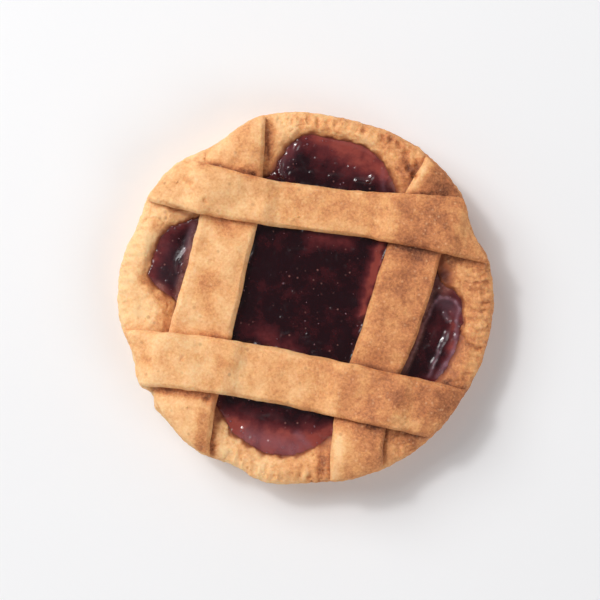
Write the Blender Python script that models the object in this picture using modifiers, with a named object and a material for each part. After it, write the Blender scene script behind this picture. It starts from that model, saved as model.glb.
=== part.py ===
"""Guava pasta frola: a round shortcrust tart with guava jam under a lattice of four pastry strips.

Metres, +Z up, +X to the right and +Y away from the viewer who looks down on the lattice.
The tart stands on its flat base, with the origin under the middle of its box.
"""

import functools
import math

import bmesh
import bpy
import numpy as np

# Driving sizes of the shell
RIM_RADIUS = 0.0625
BASE_RADIUS = 0.0575
RIM_HEIGHT = 0.0185
FLOOR_THICKNESS = 0.006
RIM_ROUNDING = 0.0032
FOOT_ROUNDING = 0.0012
RIM_BAND = 0.0048
RIM_BAND_SHARES = (0.0, 0.25, 0.5, 0.75, 1.0)
SIDE_TUCK = 0.0006
INNER_SLOPE = 0.0032
COVERED_SLOPE = 0.008
LIP_DROP = 0.0011
TURN_STEPS = 240
MERGE = 0.00005

# The jam: its level at the edge, how far it domes, and how far out it reaches at most and at least
FILLING_HEIGHT = 0.0155
FILLING_DOME = 0.0008
FILLING_OUT = 0.0540
FILLING_IN = 0.042
FILLING_TAPER = 0.004
FILLING_EDGE = 0.0012
FILLING_EDGE_DROP = 0.0004
FILLING_RINGS = (0.0, 0.45, 0.82)

# Clear distance between pieces that touch, and between a strip and what it lies on
GAP = 0.0004
LAY_GAP = 0.0005

# The open cells, where the jam shows by the rim: the angle at which each one starts and how softly,
# the same for its end, all in degrees, and how far out the jam reaches
CELLS = (
    (53.0, 17.0, 98.5, 8.5, 0.0540),
    (147.5, 11.0, 177.0, 5.0, 0.0520),
    (-41.0, 18.0, 8.0, 14.0, 0.0524),
    (235.0, 20.0, 278.0, 19.0, 0.0526),
)

# Arcs of the rim that no strip covers, which carry the fork marks: middle and half angle in degrees
OPEN_ARCS = (
    (76.0, 25.0),
    (169.0, 18.5),
    (-9.0, 18.0),
    (258.5, 17.5),
    (303.5, 5.0),
    (127.5, 3.0),
    (211.5, 3.0),
)
ARC_SOFTNESS = 2.0
FORK_MARKS = 120
FORK_DEPTH = 0.0012
FORK_FROM = 0.0003
FORK_FULL = 0.0022

# Waves round the rim: how many, how high, and where they start. The first two move the outline in
# and out, and the last moves the crest up and down.
OUTLINE_WAVES = ((2, 0.00015, 0.6), (7, 0.0002, 1.9))
CREST_WAVE = (5, 0.0003, 1.0)

# Places where the outline falls short of a circle: middle angle, half angle, depth
NOTCHES = (
    (22.0, 11.0, 0.0024),
    (77.0, 24.0, 0.0009),
    (120.0, 16.0, 0.0028),
    (157.0, 13.0, 0.0017),
    (197.0, 14.0, 0.0025),
    (212.0, 5.0, 0.0030),
    (222.0, 9.0, 0.0012),
    (246.0, 13.0, 0.0022),
    (272.0, 14.0, 0.0008),
)

# The strips: rows of place along, place across and half width. The upright pair runs along Y and
# lies on the jam, and the level pair runs along X and lies over it.
STRIP_THICKNESS = 0.0042
STRIP_EDGE_SHARE = 0.48
STRIP_END_SHARE = 0.6
STRIP_SHOULDER = 8
STRIP_END_REACH = 0.008
STRIP_INSET = 0.0008
ROUTE_END = 0.070
SLOPE_STEP = 0.0005
STRIP_STATIONS = 48
STRIP_LANES = 6
CROSSING_RAMP = 0.0055
CROSSING_MARGIN = 0.001
UNDER_PINCH = 0.35
OVER_PINCH = 0.2
REST_FROM = 0.036
REST_TO = 0.048
END_DROP_SHARE = 0.6

UPRIGHT_STRIPS = {
    "strip_left": (
        (-ROUTE_END, -0.0445, 0.0112),
        (-0.034, -0.0401, 0.0110),
        (-0.011, -0.0344, 0.0105),
        (0.014, -0.0281, 0.0098),
        (0.030, -0.0245, 0.0099),
        (0.049, -0.0231, 0.0099),
        (ROUTE_END, -0.0226, 0.0099),
    ),
    "strip_right": (
        (-ROUTE_END, 0.0166, 0.0088),
        (-0.045, 0.0176, 0.0089),
        (-0.025, 0.0224, 0.0088),
        (-0.010, 0.0281, 0.0092),
        (0.004, 0.0326, 0.0095),
        (0.015, 0.0358, 0.0093),
        (0.030, 0.0410, 0.0093),
        (0.042, 0.0469, 0.0087),
        (ROUTE_END, 0.0600, 0.0080),
    ),
}
LEVEL_STRIPS = {
    "strip_upper": (
        (-ROUTE_END, 0.0462, 0.0086),
        (-0.036, 0.0367, 0.0085),
        (-0.013, 0.0319, 0.0078),
        (0.022, 0.0275, 0.0080),
        (0.050, 0.0236, 0.0100),
        (ROUTE_END, 0.0198, 0.0105),
    ),
    "strip_lower": (
        (-ROUTE_END, -0.0192, 0.0094),
        (-0.042, -0.0205, 0.0093),
        (-0.028, -0.0224, 0.0093),
        (0.022, -0.0323, 0.0093),
        (0.042, -0.0368, 0.0094),
        (ROUTE_END, -0.0438, 0.0095),
    ),
}

# Colour in sRGB, and roughness
CRUST_LOOK = ("E0A468", 0.75)
STRIP_LOOK = ("DB9B5E", 0.72)
JAM_LOOK = ("5A2228", 0.18)


def smoothstep(share):
    share = min(max(share, 0.0), 1.0)
    return share * share * (3.0 - 2.0 * share)


def smooth_curve(at, stops, values):
    """A smooth curve through the values at the stops, with a slope there that their neighbours give."""
    slopes = np.gradient(values, stops)
    left = min(max(int(np.searchsorted(stops, at)) - 1, 0), len(stops) - 2)
    step = stops[left + 1] - stops[left]
    share = (at - stops[left]) / step
    level = values[left] + (values[left + 1] - values[left]) * share * share * (3.0 - 2.0 * share)
    lean = (1.0 - share) * slopes[left] - share * slopes[left + 1]
    return float(level + step * share * (1.0 - share) * lean)


def turn_from(angle, degrees):
    """How far an angle lies past a direction in degrees, from -180 to 180 degrees."""
    return (math.degrees(angle) - degrees + 180.0) % 360.0 - 180.0


def outline_radius(angle):
    """The rim's outer edge: a hand-pressed circle with a few shallow dips."""
    wave = sum(height * math.sin(count * angle + start) for count, height, start in OUTLINE_WAVES)
    dip = 0.0
    for middle, half, depth in NOTCHES:
        dip += depth * smoothstep(1.0 - abs(turn_from(angle, middle)) / half)
    return RIM_RADIUS + wave - dip


def filling_radius(angle):
    """The jam's edge: out by the rim in each open cell, and further in where strips cover it."""
    further = 0.0
    for start, start_soft, end, end_soft, reach in CELLS:
        is_past_start = smoothstep(0.5 + 0.5 * turn_from(angle, start) / start_soft)
        is_before_end = smoothstep(0.5 - 0.5 * turn_from(angle, end) / end_soft)
        further = max(further, (reach - FILLING_IN) * is_past_start * is_before_end)
    return FILLING_IN + further


def slope_width(filling):
    """The inner lip's width: steep beside the open jam, and long and gentle under the strips."""
    covered = (FILLING_OUT - filling) / (FILLING_OUT - FILLING_IN)
    return INNER_SLOPE + (COVERED_SLOPE - INNER_SLOPE) * covered


def crest_height(angle):
    """The rim's top, which rises and falls a little."""
    count, height, start = CREST_WAVE
    return RIM_HEIGHT + height * math.sin(count * angle + start)


def filling_height(radius):
    """The jam's surface, slightly domed."""
    return FILLING_HEIGHT + FILLING_DOME * (1.0 - min(radius / FILLING_OUT, 1.0) ** 2)


def fork_mark(angle, inset):
    """How far a fork has pressed the rim down, just inside its edge where no strip covers it."""
    shown = 0.0
    for middle, half in OPEN_ARCS:
        shown = max(shown, smoothstep((half - abs(turn_from(angle, middle))) / ARC_SOFTNESS))
    pressed = smoothstep((inset - FORK_FROM) / (FORK_FULL - FORK_FROM))
    return FORK_DEPTH * pressed * shown * (0.5 - 0.5 * math.cos(FORK_MARKS * angle))


def rim_drop(inset):
    """How far the rim's rounded outer edge lies below its crest, at this distance from the outline."""
    share = 1.0 - min(max(inset / RIM_BAND, 0.0), 1.0)
    return RIM_ROUNDING * share**3


def material(name, look):
    colour, roughness = look
    made = bpy.data.materials.new(name)
    made.use_nodes = True
    channels = [int(colour[i : i + 2], 16) / 255.0 for i in (0, 2, 4)]
    linear = [c / 12.92 if c <= 0.04045 else ((c + 0.055) / 1.055) ** 2.4 for c in channels]
    shader = made.node_tree.nodes["Principled BSDF"]
    shader.inputs["Base Color"].default_value = (*linear, 1.0)
    shader.inputs["Roughness"].default_value = roughness
    shader.inputs["Metallic"].default_value = 0.0
    made.diffuse_color = (*linear, 1.0)
    return made


def add_object(name, mesh, collection):
    obj = bpy.data.objects.new(name, mesh)
    collection.objects.link(obj)
    return obj


def bake_modifiers(obj):
    """Gives the object the mesh that its modifiers make, and removes them."""
    graph = bpy.context.evaluated_depsgraph_get()
    rough = obj.data
    mesh = bpy.data.meshes.new_from_object(obj.evaluated_get(graph))
    obj.modifiers.clear()
    obj.data = mesh
    mesh.name = obj.name
    bpy.data.meshes.remove(rough)


def form(obj, place):
    """Moves each vertex to where place says, and keeps the faces pointing outwards."""
    shape = bmesh.new()
    shape.from_mesh(obj.data)
    for vertex in shape.verts:
        vertex.co = place(*vertex.co)
    if shape.calc_volume(signed=True) < 0.0:
        bmesh.ops.reverse_faces(shape, faces=shape.faces)
    shape.to_mesh(obj.data)
    shape.free()
    obj.data.shade_smooth()
    obj.data.set_sharp_from_angle(angle=math.radians(50.0))


def turned(name, profile, collection):
    """A closed body turned about Z from a profile that runs down its outer side."""
    mesh = bpy.data.meshes.new(name)
    points = [(radius, 0.0, height) for radius, height in profile]
    mesh.from_pydata(points, [(i, i + 1) for i in range(len(points) - 1)], [])
    obj = add_object(name, mesh, collection)
    screw = obj.modifiers.new("Turn", "SCREW")
    screw.steps = TURN_STEPS
    screw.render_steps = TURN_STEPS
    screw.use_merge_vertices = True
    screw.merge_threshold = MERGE
    bake_modifiers(obj)
    return obj


def make_crust(collection):
    """The shell: floor, cup for the jam, sloped inner lip, fork-marked rim and flared side."""
    insets = [RIM_BAND * (1.0 - share) for share in RIM_BAND_SHARES]
    rim = [(RIM_RADIUS - inset, RIM_HEIGHT - rim_drop(inset)) for inset in insets]
    profile = [
        (0.0, FLOOR_THICKNESS),
        (FILLING_OUT - FILLING_TAPER, FLOOR_THICKNESS),
        (FILLING_OUT, FILLING_HEIGHT),
        (FILLING_OUT + 0.5 * INNER_SLOPE, RIM_HEIGHT - LIP_DROP),
        (FILLING_OUT + INNER_SLOPE, RIM_HEIGHT),
        *rim,
        (RIM_RADIUS - SIDE_TUCK, RIM_HEIGHT - 2.0 * RIM_ROUNDING),
        (BASE_RADIUS, FOOT_ROUNDING),
        (BASE_RADIUS - FOOT_ROUNDING, 0.0),
        (0.0, 0.0),
    ]
    obj = turned("crust", profile, collection)

    def place(x, y, z):
        radius = math.hypot(x, y)
        angle = math.atan2(y, x)
        outline = outline_radius(angle)
        filling = filling_radius(angle)
        inside_band = radius < RIM_RADIUS - RIM_BAND + MERGE
        is_cup = inside_band and z > 0.5 * FLOOR_THICKNESS
        if is_cup:
            turned_at = (0.0, FILLING_OUT, FILLING_OUT + INNER_SLOPE, RIM_RADIUS - RIM_BAND)
            placed_at = (0.0, filling, filling + slope_width(filling), outline - RIM_BAND)
            new_radius = float(np.interp(radius, turned_at, placed_at))
        else:
            hand_shaped = smoothstep(z / (RIM_HEIGHT - RIM_ROUNDING))
            new_radius = radius * (1.0 + (outline / RIM_RADIUS - 1.0) * hand_shaped)
        above_jam = max(z - FILLING_HEIGHT, 0.0) / (RIM_HEIGHT - FILLING_HEIGHT)
        new_z = z + (crest_height(angle) - RIM_HEIGHT) * min(above_jam, 1.0)
        if not inside_band and z > RIM_HEIGHT - 1.5 * RIM_ROUNDING:
            new_z -= fork_mark(angle, RIM_RADIUS - radius)
        return (new_radius * math.cos(angle), new_radius * math.sin(angle), new_z)

    form(obj, place)
    return obj


def make_filling(collection):
    """The jam, which fills the shell's cup up to the level that shows between the strips."""
    profile = [(FILLING_OUT * share, filling_height(FILLING_OUT * share)) for share in FILLING_RINGS]
    profile += [
        (FILLING_OUT - FILLING_EDGE, FILLING_HEIGHT),
        (FILLING_OUT, FILLING_HEIGHT - FILLING_EDGE_DROP),
        (FILLING_OUT - FILLING_TAPER, FLOOR_THICKNESS + GAP),
        (0.0, FLOOR_THICKNESS + GAP),
    ]
    obj = turned("guava_filling", profile, collection)

    def place(x, y, z):
        radius = math.hypot(x, y)
        angle = math.atan2(y, x)
        new_radius = radius * (filling_radius(angle) - GAP) / FILLING_OUT
        return (new_radius * math.cos(angle), new_radius * math.sin(angle), z)

    form(obj, place)
    return obj


class Route:
    """A strip's path in plan: how far across it lies, and its half width, at each place along."""

    def __init__(self, rows, is_level):
        self.stops, self.middles, self.halves = (np.array(column) for column in zip(*rows))
        self.is_level = is_level

    def across(self, along):
        return smooth_curve(along, self.stops, self.middles)

    def half(self, along):
        return smooth_curve(along, self.stops, self.halves)

    def slope(self, along):
        return (self.across(along + SLOPE_STEP) - self.across(along - SLOPE_STEP)) / (2.0 * SLOPE_STEP)

    def point(self, along, lane):
        """The place in plan at this distance along, from one edge (-1) to the other (1)."""
        slope = self.slope(along)
        offset = lane * self.half(along) / math.hypot(1.0, slope)
        here = (self.across(along) + offset, along - slope * offset)
        return here[::-1] if self.is_level else here

    def lane_at(self, x, y):
        """How far a place in plan lies from the middle line, in metres, and the half width there."""
        along, across = (x, y) if self.is_level else (y, x)
        away = abs(across - self.across(along)) / math.hypot(1.0, self.slope(along))
        return away, self.half(along)

    def trimmed(self, lane, direction):
        """Where this lane meets the rim's outline, going one way from the middle."""
        inner, outer = 0.0, ROUTE_END * direction
        for _ in range(30):
            middle = 0.5 * (inner + outer)
            x, y = self.point(middle, lane)
            if math.hypot(x, y) < outline_radius(math.atan2(y, x)) - STRIP_INSET:
                inner = middle
            else:
                outer = middle
        return inner


def rest_height(x, y):
    """What a strip lies on: the jam in the middle, and the rim's crest and rounded edge outside."""
    radius = math.hypot(x, y)
    angle = math.atan2(y, x)
    climb = smoothstep((radius - REST_FROM) / (REST_TO - REST_FROM))
    on_jam = filling_height(radius)
    on_rim = crest_height(angle) - END_DROP_SHARE * rim_drop(outline_radius(angle) - radius)
    return on_jam + (on_rim - on_jam) * climb + LAY_GAP


def crossing(x, y, others):
    """1 where one of the other strips lies above or below this place, falling to 0 beside it."""
    share = 0.0
    for route in others:
        away, half = route.lane_at(x, y)
        share = max(share, smoothstep(1.0 - (away - half - CROSSING_MARGIN) / CROSSING_RAMP))
    return share


def make_strip(name, route, others, collection):
    """A draped strip: a flat grid given thickness, then laid along its route with rounded edges.

    Where two strips cross, both are pressed thinner, and the level one is lifted over the other.
    """
    mesh = bpy.data.meshes.new(name)
    grid = bmesh.new()
    bmesh.ops.create_grid(grid, x_segments=STRIP_STATIONS, y_segments=STRIP_LANES, size=1.0)
    grid.to_mesh(mesh)
    grid.free()
    obj = add_object(name, mesh, collection)
    thickness = obj.modifiers.new("Thickness", "SOLIDIFY")
    thickness.thickness = 1.0
    thickness.offset = 1.0
    bake_modifiers(obj)
    pinch = OVER_PINCH if route.is_level else UNDER_PINCH
    lift = STRIP_THICKNESS * (1.0 - UNDER_PINCH) + LAY_GAP if route.is_level else 0.0

    @functools.cache
    def ends(lane):
        return route.trimmed(lane, -1.0), route.trimmed(lane, 1.0)

    def place(station, lane, level):
        lane = math.sin(0.5 * math.pi * lane)
        start, end = ends(lane)
        x, y = route.point(start + (end - start) * 0.5 * (station + 1.0), lane)
        inset = outline_radius(math.atan2(y, x)) - math.hypot(x, y)
        crown = STRIP_EDGE_SHARE + (1.0 - STRIP_EDGE_SHARE) * math.sqrt(1.0 - lane**STRIP_SHOULDER)
        end_share = STRIP_END_SHARE + (1.0 - STRIP_END_SHARE) * smoothstep(inset / STRIP_END_REACH)
        crossed = crossing(x, y, others)
        thick = STRIP_THICKNESS * crown * end_share * (1.0 - pinch * crossed)
        return (x, y, rest_height(x, y) + lift * crossed + level * thick)

    form(obj, place)
    return obj


def centre_on_origin(parts, anchor):
    """Moves the anchor so that the middle of the whole box, in plan, is at the origin."""
    corners = np.array([vertex.co for obj in parts for vertex in obj.data.vertices])
    middle = 0.5 * (corners.min(axis=0) + corners.max(axis=0))
    anchor.location = (-middle[0], -middle[1], 0.0)


def main():
    for obj in list(bpy.data.objects):
        bpy.data.objects.remove(obj, do_unlink=True)
    collection = bpy.data.collections.new("Guava pasta frola")
    bpy.context.scene.collection.children.link(collection)
    anchor = add_object("tart", None, collection)

    crust = make_crust(collection)
    crust.data.materials.append(material("baked shortcrust shell", CRUST_LOOK))
    filling = make_filling(collection)
    filling.data.materials.append(material("guava jam", JAM_LOOK))

    pastry = material("baked shortcrust strip", STRIP_LOOK)
    upright = {name: Route(rows, False) for name, rows in UPRIGHT_STRIPS.items()}
    level = {name: Route(rows, True) for name, rows in LEVEL_STRIPS.items()}
    strips = []
    for routes, others in ((upright, level), (level, upright)):
        for name, route in routes.items():
            strips.append(make_strip(name, route, others.values(), collection))
    for strip in strips:
        strip.data.materials.append(pastry)

    parts = [crust, filling, *strips]
    for part in parts:
        part.parent = anchor
    centre_on_origin(parts, anchor)


main()
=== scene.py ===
"""The looks of a guava pasta frola: baked shortcrust, glossy guava jam, and the crumbs on both."""

import math

import bmesh
import bpy
import numpy as np
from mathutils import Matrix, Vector
from mathutils.bvhtree import BVHTree


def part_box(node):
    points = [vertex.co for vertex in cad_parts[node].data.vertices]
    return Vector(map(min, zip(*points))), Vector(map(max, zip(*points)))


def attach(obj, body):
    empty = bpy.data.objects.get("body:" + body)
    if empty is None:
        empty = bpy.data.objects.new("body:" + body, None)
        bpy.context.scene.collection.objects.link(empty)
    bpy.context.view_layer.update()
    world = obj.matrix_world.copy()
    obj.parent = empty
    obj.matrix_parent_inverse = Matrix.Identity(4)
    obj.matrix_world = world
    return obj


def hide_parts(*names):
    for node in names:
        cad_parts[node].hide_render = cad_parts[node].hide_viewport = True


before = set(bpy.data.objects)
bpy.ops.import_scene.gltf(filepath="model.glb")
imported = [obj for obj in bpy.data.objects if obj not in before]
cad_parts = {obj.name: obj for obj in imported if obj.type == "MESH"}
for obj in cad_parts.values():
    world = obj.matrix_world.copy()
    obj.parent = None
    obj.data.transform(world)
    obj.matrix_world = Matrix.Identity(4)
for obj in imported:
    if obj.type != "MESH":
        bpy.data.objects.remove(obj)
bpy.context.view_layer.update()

MM = 0.001
BODY = "root"

# Levels and reach, read from the CAD parts
RIM_RADIUS = 0.5 * (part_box("crust")[1].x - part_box("crust")[0].x)
RIM_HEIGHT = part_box("crust")[1].z
JAM_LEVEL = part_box("guava_filling")[1].z

# Lower than this, the jam and the shell's cup hide each other, and the board hides the underside
HIDDEN_LEVEL = JAM_LEVEL - 3.0 * MM
UNDERSIDE = 0.4 * MM

# The cup lies inside the first radius, and the tin's side outside the second
CUP_RADIUS = 0.83 * RIM_RADIUS
SIDE_RADIUS = 0.90 * RIM_RADIUS

# The strips, and whether each runs along X
STRIPS = {"strip_left": False, "strip_right": False, "strip_upper": True, "strip_lower": True}

# Spacing of the fine meshes that the relief is worked into, and the share of hidden faces kept
SHELL_CELL = 0.45 * MM
STRIP_CELL = 0.33 * MM
JAM_CELL = 0.33 * MM
HIDDEN_KEPT = 0.5

# Relief of the pastry: on the pressed shell, and on a rolled strip, which is smoother.
# The shares say how many of the pits and cracks are there.
PASTRY_RELIEF = {
    "Swell size": (8.0 * MM, 9.0 * MM),
    "Swell height": (0.55 * MM, 0.80 * MM),
    "Lump size": (2.6 * MM, 3.8 * MM),
    "Lump height": (0.66 * MM, 0.36 * MM),
    "Grain size": (1.2 * MM, 1.0 * MM),
    "Grain height": (0.30 * MM, 0.10 * MM),
    "Pit spacing": (3.0 * MM, 5.5 * MM),
    "Pit radius": (0.90 * MM, 0.75 * MM),
    "Pit depth": (0.45 * MM, 0.55 * MM),
    "Pit share": (0.18, 0.13),
    "Crack spacing": (6.0 * MM, 9.0 * MM),
    "Crack width": (0.35 * MM, 0.40 * MM),
    "Crack depth": (0.45 * MM, 0.40 * MM),
    "Crack share": (0.12, 0.05),
    "Inset": (0.12 * MM, 0.20 * MM),
}
SHELL_RELIEF = {name: values[0] for name, values in PASTRY_RELIEF.items()}
STRIP_RELIEF = {name: values[1] for name, values in PASTRY_RELIEF.items()}

# Cracks wander by this much, over this length, and open in patches of this size: where its noise
# is above the first level less their share, and fully by the step above that. Here and below, a
# size that is written as 1.0 over a number is a metre over how many of them fit in it
CRACK_BEND = 3.0 * MM
CRACK_BEND_SIZE = 1.0 / 260.0
CRACK_PATCH = 1.0 / 130.0
CRACK_LEVEL = 0.72
CRACK_STEP = 0.06

# Relief of the jam, whose skin is folded in patches
JAM_RELIEF = {
    "Swell size": 7.0 * MM,
    "Swell height": 0.32 * MM,
    "Fold size": 4.8 * MM,
    "Fold height": 0.46 * MM,
    "Dimple size": 2.2 * MM,
    "Dimple height": 0.05 * MM,
}
FOLDED_PATCH = 1.0 / 95.0

SHELL_SEED = 3.0
JAM_SEED = 5.0
FIRST_STRIP_SEED = 10.0

# Loose grains: how many to a square metre where the litter is 1, and their sizes
CRUMBS = {"Density": 6.0e4, "Least size": 0.25 * MM, "Greatest size": 1.3 * MM}
JAM_BEADS = {"Density": 5.0e5, "Least size": 0.3 * MM, "Greatest size": 1.1 * MM}

# How pale the beads' skin is, a painted sheen that makes them look lit
BEAD_SKIN_AND_SHEEN = 0.55

# How far a strip's underside beds down on what it lies on
BEDDING = 0.8 * MM

# How far the shell's inner lip leans in over the jam at least, in mm
LEAST_LEAN = 0.3

# How far the jam creeps over the shell, and how far from pastry its surface is still drawn up
CREEP = 1.3 * MM
JAM_EDGE = 7.0 * MM

# How the jam's top moves up, in mm: by the shell, by the strips, in the open and at a wrinkle
RISE_BY_SHELL = 0.50
RISE_BY_STRIPS = 0.20
RISE_IN_OPEN = -0.30
RISE_AT_WRINKLE = 0.14

# How far baking wore the shell's edges down: on average, how much less that is at this bearing in
# degrees and more across from it, and in how many rounds
WORN = 0.65
WORN_SWING = 0.30
WORN_LEAST_AT = 10.0
WORN_ROUNDS = 20

# Crumbs are mixed into the jam along the outer sides of the upright strips only. The strips lean
# by this share of Y, and the crumbs set in between these distances from the middle.
STRIP_LEAN = 0.25
CRUMBS_FROM = 26.0 * MM
CRUMBS_FULL = 32.0 * MM

# How brown the pastry is at least, and painted shade that darkens it from its lit left side towards its
# right side, away from the key lamp
BROWN_LEAST = 0.17
SIDE_SHADE_RISE = 0.40
LIT_SIDE = -45.0 * MM
SHADED_SIDE = 50.0 * MM

# What each thing adds to how brown the shell is, and a strip, and the most that they reach.
# Low places, dents and a strip's steep sides are painted darker as shade; by another piece it is partly
# browning and partly painted shade
SHELL_BROWNING_AND_SHADE = {
    "all over": -0.09,
    "side": -0.05,
    "painted shade in low places": 0.26,
    # Painted shade: darker in dents and tine marks
    "pressed": 0.24,
    "browning and painted shade by a strip": 0.36,
    "by the jam": 0.12,
    "steep side": 0.12,
    "underside": 0.10,
    "most": 0.84,
}
STRIP_BROWNING_AND_SHADE = {
    "cut edge": -0.04,
    "painted shade in low places": 0.22,
    # Painted shade: darker in dents
    "pressed": 0.28,
    "browning and painted shade by a piece": 0.42,
    # Painted shade on steep sides
    "steep": 0.08,
    "most": 0.86,
}

# Colours of palest to brownest crust, whose darker end also stands for painted shade, of crust with
# little to much jam in it, and of thin to deep jam, and then of the jam's dried skin and painted sheen,
# of crumbs in it, and of the board under the tart
CRUST_COLOURS = (
    (0.0, "#FBD09A"),
    (0.2, "#F5BE86"),
    (0.4, "#E6A56C"),
    (0.6, "#CD8656"),
    (0.8, "#A66642"),
    (1.0, "#6A3C28"),
)
SOAKED_COLOURS = ((0.0, "#DC965C"), (0.45, "#A9623E"), (1.0, "#64342A"))
JAM_COLOURS = ((0.0, "#92443C"), (0.35, "#64292B"), (0.7, "#42171C"), (1.0, "#220B11"))
SKIN_AND_PAINTED_SHEEN = "#8C6470"
CRUMBS_IN_JAM = "#A0655A"
BOARD_COLOURS = ((0.0, "#F0F0F1"), (1.0, "#F5F5F6"))

# What is the same all over each surface: light enters both a little, and wet jam has a coat
BAKED_CRUST = {
    "IOR": 1.45,
    "Specular IOR Level": 0.32,
    "Subsurface Weight": 0.25,
    "Subsurface Radius": (1.0, 0.45, 0.18),
    "Subsurface Scale": 1.6 * MM,
}
WET_JAM = {
    "IOR": 1.46,
    "Coat Weight": 0.4,
    "Coat Roughness": 0.05,
    "Subsurface Weight": 0.12,
    "Subsurface Radius": (1.0, 0.12, 0.1),
    "Subsurface Scale": 1.5 * MM,
}

# Sizes of the patterns in the pastry. Real grain and crumb are finer than the picture can show,
# so these are as coarse as they need to be.
OVEN_PATCH = 1.0 / 150.0
SANDY_GRAIN = 1.0 / 1150.0
FINE_CRUMB = 1.0 / 2100.0

# Sizes of the pulp and of the fine unevenness in the jam's skin
PULP_SIZE = 1.0 / 170.0
PORE_SIZE = 1.0 / 650.0

# Size of the faint clouds on the board under the tart
BOARD_CLOUD = 1.0 / 6.0

# Specks, one to a cell of this spacing. The draw, a channel of the cell's random colour, picks
# those that show: none below the first value and all above the second. The radii are where a
# speck starts to fade and where it ends, as shares of a cell.
BRAN = {
    "colour": "#9A5A32",
    "spacing": 1.0 / 520.0,
    "draw": "Red",
    "picked": (0.90, 0.95),
    "radii": (0.18, 0.42),
    "strength": 0.35,
}
FLOUR = {
    "colour": "#F9CFA0",
    "spacing": 1.0 / 900.0,
    "draw": "Green",
    "picked": (0.78, 0.92),
    "radii": (0.10, 0.50),
    "strength": 0.34,
}
FRUIT_GRIT = {
    "colour": "#A8766E",
    "spacing": 1.0 / 750.0,
    "draw": "Red",
    "picked": (0.90, 0.97),
    "radii": (0.08, 0.32),
    "strength": 0.55,
}

# What follows are strokes on the tart in plan: start x and y, end x and y, radius, all in mm,
# and then how much the stroke adds there. A stroke that ends where it starts is a round spot.

# More browning, or less, on the lattice. Some strokes are painted shade beside strip edges, and one is
# painted light on a strip end that faces away from the lamp
BROWNED_AND_SHADED_LATTICE = (
    (36.0, 24.5, 47.0, 23.0, 9.0, 0.08),
    (34.0, 14.0, 35.0, 9.0, 8.0, 0.15),
    (31.0, -4.0, 30.0, -12.0, 8.0, 0.04),
    (30.0, -32.0, 42.0, -33.0, 9.0, 0.11),
    (44.0, 40.0, 46.0, 37.0, 5.0, 0.10),
    (26.0, 30.0, 28.0, 25.0, 4.5, -0.14),
    # Painted light: paler on the upper strip's right end, which faces away from the lamp
    (53.0, 24.0, 57.0, 17.0, 5.0, -0.26),
    (30.0, -41.0, 44.0, -42.5, 2.6, -0.16),
    # Painted shade on the left strip's right flank
    (-33.6, -39.0, -33.6, -53.0, 3.0, 0.34),
    (-33.5, 9.0, -34.3, 5.0, 2.6, 0.14),
    (-27.7, 24.5, -26.5, 20.0, 2.4, 0.16),
    (10.5, -46.0, 9.5, -58.0, 2.6, -0.30),
    (34.7, 36.7, 39.5, 44.6, 2.6, -0.46),
    (-31.0, 6.0, -32.0, -1.0, 4.0, 0.22),
    (-20.0, 50.0, -18.0, 44.0, 4.5, 0.12),
    # Painted shade along the upper strip's top edge, over the left strip
    (-34.5, 44.7, -17.0, 40.3, 1.5, 0.34),
    (-40.0, 40.0, -47.0, 35.0, 4.0, 0.05),
    (-48.0, -20.0, -52.0, -20.0, 3.0, 0.14),
    # Painted shade below the lower strip's lower edge
    (-52.0, -29.8, -31.0, -32.8, 1.3, 0.34),
    (-27.0, -15.0, -30.0, -22.0, 5.0, 0.10),
)

# The same on the shell's rim, where some strokes are painted shade in the valleys beside the strips
BROWNED_AND_SHADED_RIM = (
    (12.0, 57.0, 26.0, 53.5, 2.2, 0.04),
    (27.0, 52.0, 31.0, 49.5, 3.0, 0.04),
    (33.0, 45.0, 36.5, 40.5, 2.6, 0.12),
    (14.0, 54.5, 22.0, 50.0, 2.5, -0.12),
    # Painted shade in the valley right of the left strip's upper end
    (-12.0, 56.0, -12.0, 42.0, 1.9, 0.34),
    # Painted shade in the wedge between the right strip and the rim
    (44.8, 14.0, 46.4, 6.0, 2.8, 0.50),
    (-50.2, 25.5, -49.5, 24.0, 1.6, 0.16),
    (-54.0, 6.0, -52.5, 5.0, 1.6, 0.20),
    (-57.5, -9.0, -56.0, -13.0, 1.8, 0.12),
    (50.0, 12.5, 58.0, 10.5, 1.5, 0.10),
    (50.0, -11.0, 50.5, -17.0, 2.0, 0.08),
    (45.0, -27.5, 53.0, -27.0, 2.4, 0.20),
    (29.0, -46.0, 35.0, -48.0, 4.0, 0.20),
    (6.0, -46.0, 4.5, -59.0, 2.6, 0.22),
    (-3.0, -57.5, 6.0, -56.5, 2.4, 0.16),
    # Painted shade in the valley right of the left strip's lower end
    (-31.5, -41.0, -31.0, -52.0, 2.4, 0.42),
    (-46.0, -1.0, -46.5, -11.0, 2.8, 0.38),
    (-52.5, 6.5, -50.0, 0.0, 2.0, 0.26),
    (-44.0, 26.0, -49.0, 23.0, 2.0, 0.14),
    (-46.5, 36.0, -44.0, 32.0, 2.2, 0.18),
)

# Where the shell's dough leans in over the jam, by how far in mm
LEANING = (
    (49.5, 6.5, 46.5, 13.0, 3.0, 4.2),
    (-52.5, 3.0, -50.0, 0.0, 2.2, 1.0),
)

# Jam that soaked into the shell, and in the wedge by the right strip painted shade as well
STAINED = (
    (-44.5, 29.2, -37.0, 27.2, 1.3, 0.42),
    # The next two are partly painted shade, in the wedge between the right strip and the rim
    (47.0, 3.0, 46.0, 7.0, 2.3, 0.50),
    (46.0, 7.0, 44.4, 13.0, 2.4, 0.62),
    (-52.0, 5.5, -50.0, 3.0, 1.6, 0.35),
    (-30.0, -33.0, -29.0, -39.5, 2.2, 0.62),
    (29.5, 38.0, 30.5, 36.0, 1.6, 0.50),
    (48.0, -25.0, 50.0, -27.0, 1.4, 0.35),
    (2.0, -49.5, 7.0, -47.0, 1.6, 0.30),
)

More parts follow.
